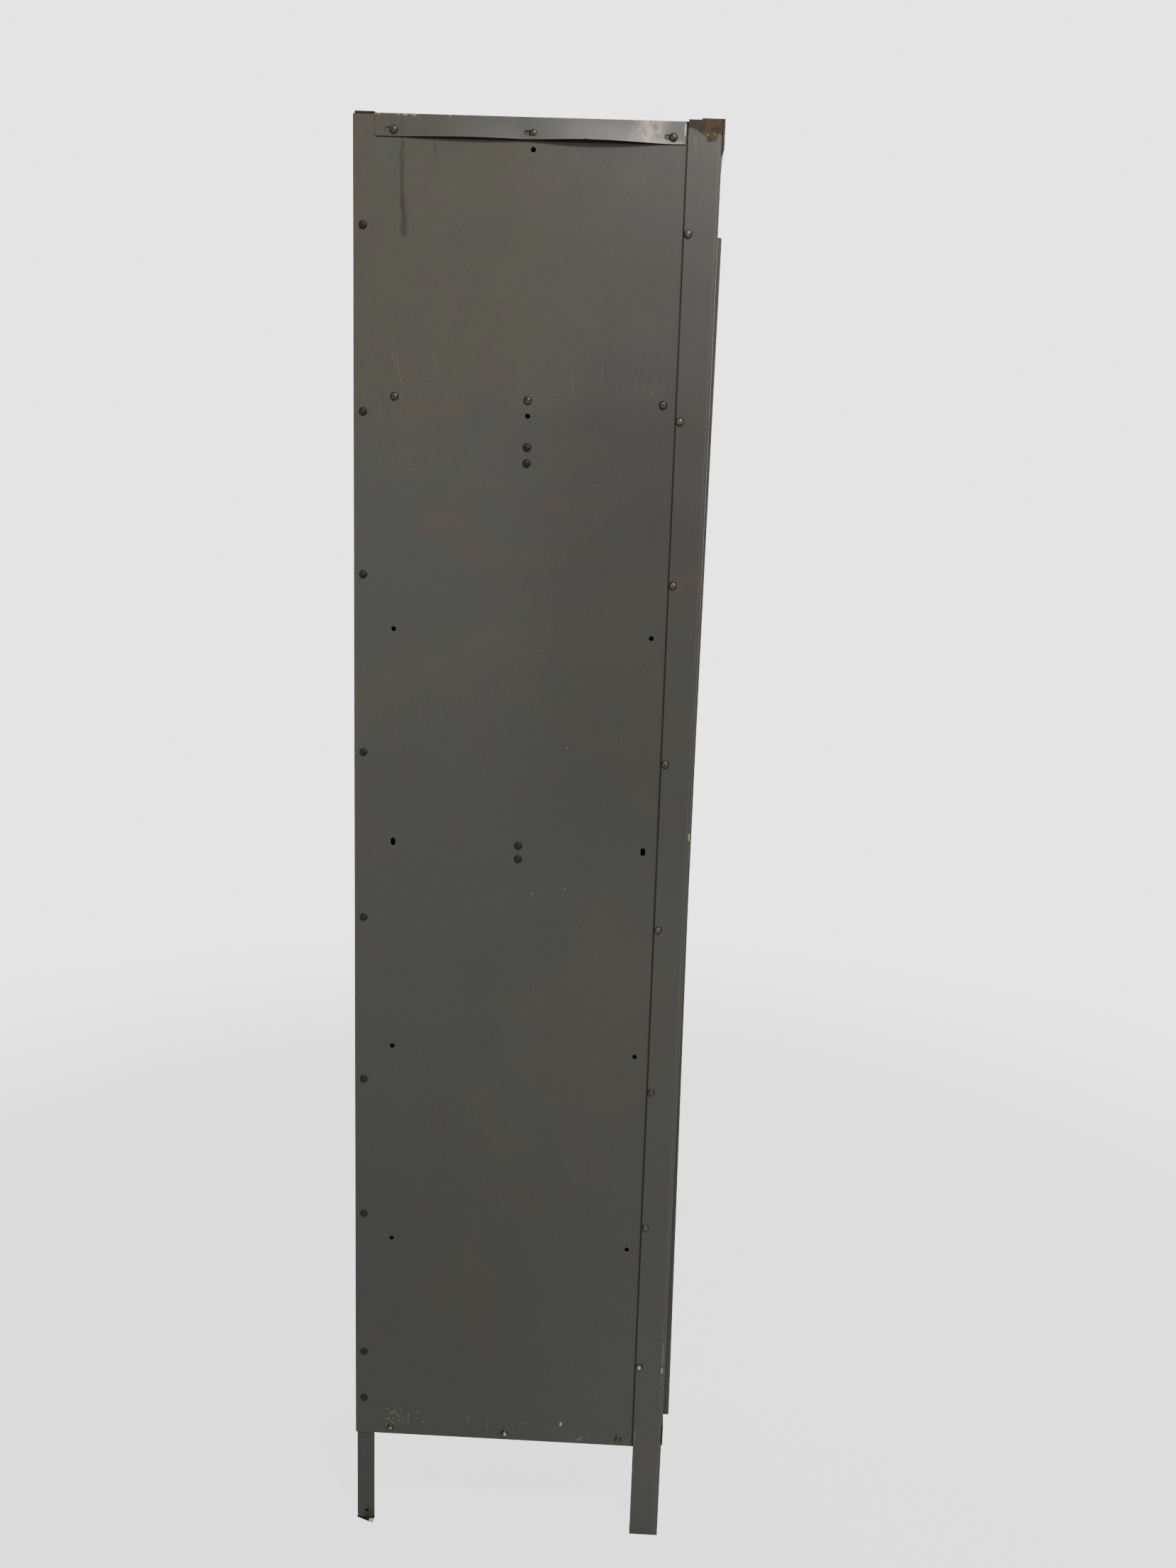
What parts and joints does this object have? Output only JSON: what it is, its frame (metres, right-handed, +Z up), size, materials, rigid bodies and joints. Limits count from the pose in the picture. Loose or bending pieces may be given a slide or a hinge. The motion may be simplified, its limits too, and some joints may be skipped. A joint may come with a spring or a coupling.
{
  "type": "locker cabinet",
  "caption": "Tall narrow sheet-steel locker on legs, with a hinged door, lift latch, hat shelf and coat hooks.",
  "frame": {"origin": "on the floor, under the middle of the object's box", "axes": "+Z up; the door faces -Y; the door's hinges are on the +X side and its latch on the -X side"},
  "size_m": [0.3182, 0.4708, 1.9832],
  "materials": {
    "body_enamel": "worn satin baked enamel, warm grey",
    "leg_enamel": "worn satin baked enamel, darker grey",
    "trim_enamel": "satin dark enamel",
    "painted_bolts": "satin, worn on the crown",
    "plated_steel": "dull zinc plating",
    "nickel_steel": "satin nickel plating",
    "hook_steel": "dull zinc plating",
    "plate_aluminium": "satin",
    "bumper_rubber": "matt"
  },
  "bodies": {
    "cabinet": {"back_bolts": "painted_bolts", "back_panel": "body_enamel", "cap_rail": "trim_enamel", "door_bumpers": "bumper_rubber", "floor_bolts": "painted_bolts", "floor_panel": "body_enamel", "hat_shelf": "body_enamel", "header_panel": "body_enamel", "hook_bolts": "painted_bolts", "inner_nuts": "plated_steel", "left_front_foot": "leg_enamel", "left_lower_hook": "hook_steel", "left_nuts": "plated_steel", "left_rear_edge_bolts": "painted_bolts", "left_rear_foot": "leg_enamel", "left_rear_post": "leg_enamel", "left_side_panel": "body_enamel", "left_upper_hook": "hook_steel", "left_upright": "body_enamel", "left_upright_bolts": "painted_bolts", "lower_hinge_frame_leaf": "body_enamel", "lower_hinge_pin": "plated_steel", "lower_keeper": "plated_steel", "middle_hinge_frame_leaf": "body_enamel", "middle_hinge_pin": "plated_steel", "middle_keeper": "plated_steel", "number_plate": "plate_aluminium", "plate_rivets": "plated_steel", "right_front_foot": "leg_enamel", "right_lower_hook": "hook_steel", "right_nuts": "plated_steel", "right_rear_edge_bolts": "painted_bolts", "right_rear_foot": "leg_enamel", "right_rear_post": "leg_enamel", "right_side_panel": "body_enamel", "right_upper_hook": "hook_steel", "right_upright": "body_enamel", "right_upright_bolts": "painted_bolts", "shelf_bolts": "painted_bolts", "shelf_hook": "hook_steel", "shelf_hook_bolts": "painted_bolts", "sill_rail": "trim_enamel", "top_bolts": "painted_bolts", "top_panel": "body_enamel", "upper_hinge_frame_leaf": "body_enamel", "upper_hinge_pin": "plated_steel", "upper_keeper": "plated_steel"},
    "door": {"door_pan": "body_enamel", "door_stiffener": "body_enamel", "handle_cup": "nickel_steel", "padlock_eye": "nickel_steel", "bar_guides": "plated_steel", "lower_hinge_door_leaf": "body_enamel", "middle_hinge_door_leaf": "body_enamel", "upper_hinge_door_leaf": "body_enamel"},
    "latch": {"lock_bar": "plated_steel", "lift_trigger": "nickel_steel", "link_rivets": "plated_steel", "latch_clips": "plated_steel"}
  },
  "joints": [
    {"name": "door_hinge", "type": "hinge", "parent": "cabinet", "child": "door", "pos_m": [0.1344, -0.2314, 1.024], "axis": [0, 0, 1], "range_deg": [0, 170]},
    {"name": "latch_lift", "type": "slide", "parent": "door", "child": "latch", "axis": [0, 0, 1], "range_m": [0, 0.012]}
  ]
}
